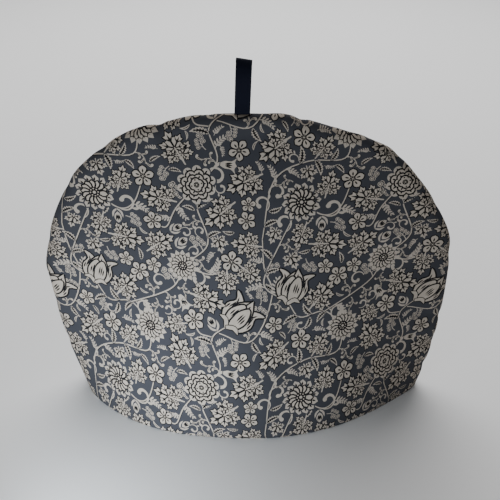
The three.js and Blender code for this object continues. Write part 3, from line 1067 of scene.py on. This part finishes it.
def panel(name, side, creases, slide):
    """One panel as a closed mesh: printed outer face, turned hem and plain inner face."""
    cloth, triangles, ink = printed_cloth(slide)
    loop = rim_loop(triangles)
    on_hem = cloth[loop].imag < TOUCHING
    hem_ends = abs(cloth[loop].real) > CLOTH_WIDTH_AT_HEM - 10 * TOUCHING
    on_seam = np.zeros(len(cloth), bool)
    on_seam[np.array(loop)[~on_hem | hem_ends]] = True
    fill = hex_grid(LINING_STEP)
    fill = fill[on_panel(fill, LINING_STEP / 3)]
    inner, inner_triangles = triangulate(
        np.concatenate([cloth[loop], fill]), closed_edges(0, len(loop)), "enclosed"
    )
    inner_seam = np.zeros(len(inner), bool)
    inner_seam[: len(loop)] = on_seam[loop]

    # The lining shares the outer face's points along the seam, and has its own elsewhere.
    own = np.where(~inner_seam)[0]
    number = np.zeros(len(inner), int)
    number[: len(loop)] = loop
    number[own] = len(cloth) + np.arange(len(own))
    hem = []
    for k in range(len(loop)):
        ahead = (k + 1) % len(loop)
        if on_hem[k] and on_hem[ahead]:
            face = [loop[ahead], loop[k], number[k], number[ahead]]
            hem.append([v for n, v in enumerate(face) if v != face[n - 1]])
    faces = triangles.tolist() + number[inner_triangles][:, ::-1].tolist() + hem
    part = np.repeat([PRINTED, LINING, HEM], [len(triangles), len(inner_triangles), len(hem)])
    places = np.concatenate([
        stood_up(cloth, side, creases, on_seam, False),
        stood_up(inner, side, creases, inner_seam, True)[own],
    ])
    piece = new_piece(name, places.tolist(), faces)
    mesh = piece.data
    mesh.materials.append(printed_cotton)
    mesh.materials.append(plain_cotton)
    mesh.polygons.foreach_set("material_index", (part == LINING).astype(int))

    # What the cotton reads: each point's place on the flat cloth, and each face's ink.
    flat = np.concatenate([cloth, inner[own]])
    inks = np.full(len(faces), float(GROUND))
    inks[: len(ink)] = ink
    on_cloth = mesh.attributes.new("cloth", "FLOAT_VECTOR", "POINT")
    on_cloth.data.foreach_set("vector", np.stack([flat.real, flat.imag, 0 * flat.real], 1).ravel())
    mesh.attributes.new("ink", "FLOAT", "FACE").data.foreach_set("value", inks)

    corner = np.zeros(len(mesh.loops), int)
    mesh.loops.foreach_get("vertex_index", corner)
    corner_part = np.repeat(part, [len(face) for face in faces])
    map_scale = (1 - 2 * MAP_MARGIN) / (2 * CLOTH_WIDTH)
    across = MAP_MARGIN + map_scale * (flat.real[corner] + CLOTH_WIDTH)
    up = MAP_MARGIN + map_scale * flat.imag[corner]
    lining_up = LINING_ON_MAP["from"] + LINING_ON_MAP["height"] * flat.imag[corner] / CLOTH_HEIGHT
    hem_up = np.take(HEM_ROWS_ON_MAP, corner >= len(cloth))
    up = np.choose(corner_part, [up, lining_up, hem_up])
    bake_map = mesh.uv_layers.new(name="OFBake")
    bake_map.data.foreach_set("uv", np.stack([across, up], 1).ravel())
    bpy.ops.object.shade_smooth_by_angle(angle=CREASE_ANGLE)
    return piece


FRONT_PRINT_SLIDE = 12 + 6j
BACK_PRINT_SLIDE = 71 + 93j
front = panel("front_panel_cloth", -1, FRONT_CREASES, FRONT_PRINT_SLIDE)
back = panel("back_panel_cloth", 1, BACK_CREASES, BACK_PRINT_SLIDE)
for piece, node_name in ((front, "front_panel"), (back, "back_panel")):
    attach(piece, "root")
    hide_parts(node_name)


# The hanging loop is one strip of navy woven tape with fine ribs, folded over, with both ends
# caught in the seam at the top of the crown. It leans a little, and its fold is aslant. One of
# its sides is drawn from foot to fold, as how far it stands out from the middle + 1j * height.
TAPE_WIDTH = 11.4
TAPE_THICKNESS = 1.3
TAPE_COLUMNS = 8
TAPE_COLOUR = (0.0075, 0.0088, 0.0175, 1.0)
RIB_PITCH = 0.0009
RIB_DEPTH = 0.00012
RIB_STRENGTH = 0.5
RIB_WAVER = 0.6
WAVE_UNITS = 20
LOOP_HEIGHT = 40.0
LOOP_X = -3.0
LOOP_LEAN = math.radians(2.2)
LOOP_TOP_SLANT = math.radians(9)
LOOP_DIP = 1.2
LOOP_SIDE = [0.65, 1 + 8j, 3.2 + 19j, 4.8 + 28.5j, 3.7 + 36j, 1j * (LOOP_HEIGHT - TAPE_THICKNESS / 2)]
loop_line = smooth_line(LOOP_SIDE + [-p.conjugate() for p in LOOP_SIDE[-2::-1]], 6)
loop_line[[0, -1]] -= 1j * LOOP_DIP
tape_places, tape_faces = [], []
for n, point in enumerate(loop_line):
    for k, share in enumerate(np.linspace(-0.5, 0.5, TAPE_COLUMNS + 1)):
        x = LOOP_X + share * TAPE_WIDTH + point.imag * math.tan(LOOP_LEAN)
        drop = share * TAPE_WIDTH * math.tan(LOOP_TOP_SLANT) * (point.imag / LOOP_HEIGHT) ** 3
        z = HEIGHT + PANEL_GAP + point.imag - drop
        tape_places.append(Vector((x, point.real, z)) * MM)
        if n and k:
            high = len(tape_places) - 1
            low = high - TAPE_COLUMNS - 1
            tape_faces.append((low - 1, low, high, high - 1))
tape = new_piece("hanging_loop_tape", tape_places, tape_faces)
thickness = tape.modifiers.new("thickness", "SOLIDIFY")
thickness.thickness = TAPE_THICKNESS * MM
thickness.offset = 0
bpy.ops.object.modifier_apply(modifier="thickness")
bpy.ops.object.shade_smooth_by_angle(angle=math.radians(40))

tape_finish = matt("navy_tape", TAPE_COLOUR, roughness=0.8, gloss=0.06)
tape_nodes, tape_links = tape_finish.node_tree.nodes, tape_finish.node_tree.links
tape_place = tape_nodes.new("ShaderNodeTexCoord")
rib = tape_nodes.new("ShaderNodeTexWave")
rib.bands_direction = "Z"
rib.inputs["Scale"].default_value = math.tau / (WAVE_UNITS * RIB_PITCH)
rib.inputs["Distortion"].default_value = RIB_WAVER
rib_relief = tape_nodes.new("ShaderNodeBump")
rib_relief.inputs["Strength"].default_value = RIB_STRENGTH
rib_relief.inputs["Distance"].default_value = RIB_DEPTH
tape_links.new(tape_place.outputs["Object"], rib.inputs["Vector"])
tape_links.new(rib.outputs["Fac"], rib_relief.inputs["Height"])
tape_links.new(rib_relief.outputs["Normal"], tape_nodes["Principled BSDF"].inputs["Normal"])
tape.data.materials.append(tape_finish)
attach(tape, "root")
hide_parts("hanging_loop")
